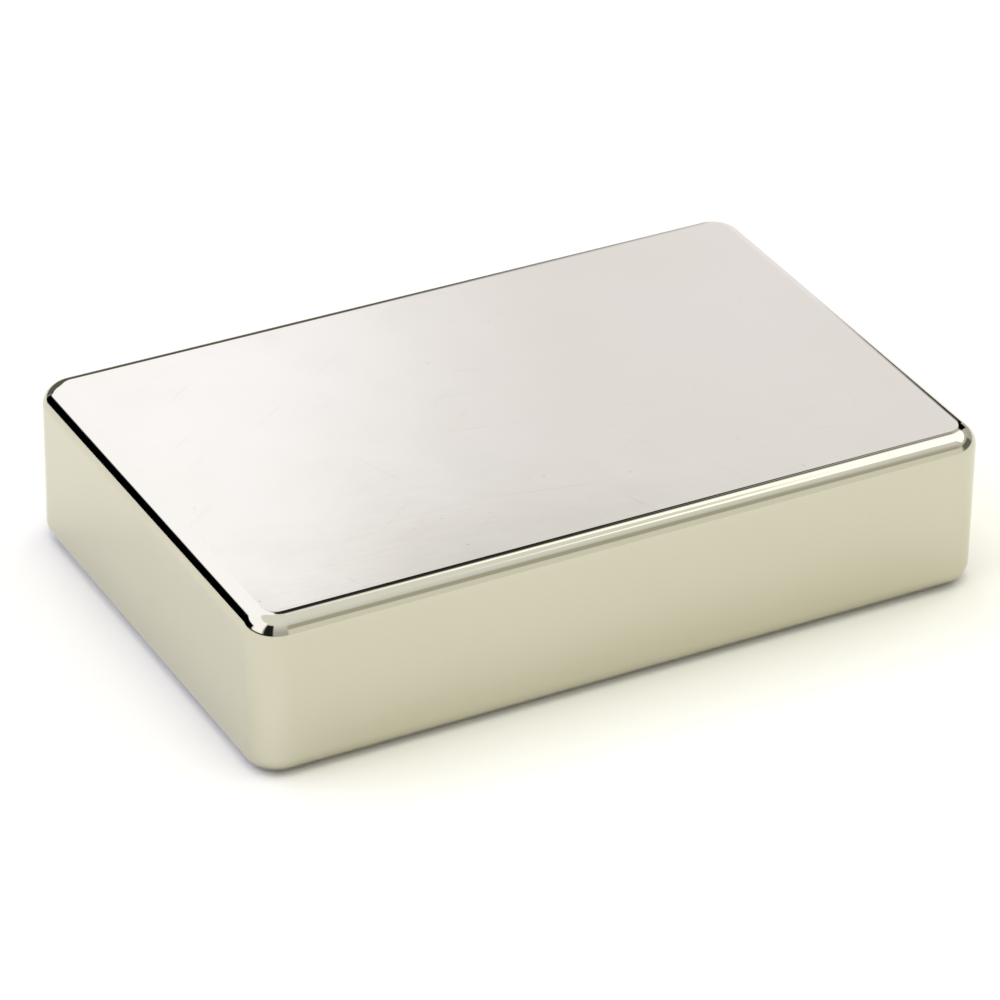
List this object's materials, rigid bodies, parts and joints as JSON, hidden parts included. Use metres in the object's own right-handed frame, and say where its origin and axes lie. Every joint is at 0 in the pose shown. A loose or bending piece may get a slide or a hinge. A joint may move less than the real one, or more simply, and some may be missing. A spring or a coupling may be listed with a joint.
{
  "type": "nickel-plated block magnet",
  "caption": "Flat rectangular sintered block magnet with tumbled, rounded edges, plated all over in layers of nickel, copper and bright nickel.",
  "frame": {"origin": "centre of the lower pole face", "axes": "+X along the length, +Y along the width, +Z through the thickness from the lower pole face to the upper one"},
  "size_m": [0.046, 0.03, 0.01],
  "materials": {
    "sintered_magnet": "ground sintered metal, dark and grainy",
    "matt_nickel": "matt nickel strike",
    "copper_plate": "satin copper plate",
    "bright_nickel": "bright nickel plate over a ground face"
  },
  "bodies": {
    "root": {"sintered_core": "sintered_magnet", "inner_nickel_layer": "matt_nickel", "copper_layer": "copper_plate", "outer_nickel_layer": "bright_nickel"}
  },
  "joints": []
}
